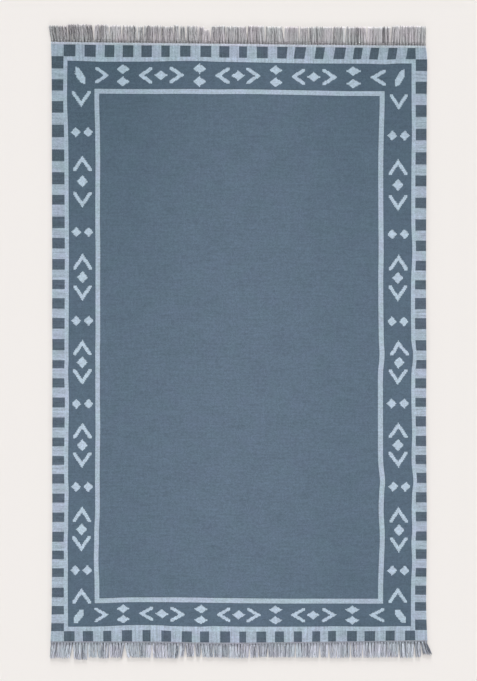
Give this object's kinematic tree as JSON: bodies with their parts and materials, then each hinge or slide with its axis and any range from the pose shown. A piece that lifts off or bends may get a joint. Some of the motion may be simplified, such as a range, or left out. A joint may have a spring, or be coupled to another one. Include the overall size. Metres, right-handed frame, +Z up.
{
  "type": "flatweave rug with knotted fringe",
  "caption": "Flat rectangular flatweave rug, slightly uneven in outline, with a row of raised knots and a short cut fringe of yarn locks along each end.",
  "frame": {"origin": "on the floor under the middle of the whole outline, fringes included", "axes": "+X across the rug to its right-hand side, +Y along its length to the far end, +Z up from the floor"},
  "size_m": [1.55, 2.58, 0.0066],
  "materials": {
    "woven_cloth": "matte weft-faced weave in slate blue with a darker border band and pale blue motifs",
    "fringe_yarn": "matte grey twisted yarn"
  },
  "bodies": {
    "root": {"rug_cloth": "woven_cloth", "fringe_far": "fringe_yarn", "fringe_near": "fringe_yarn"}
  },
  "joints": []
}
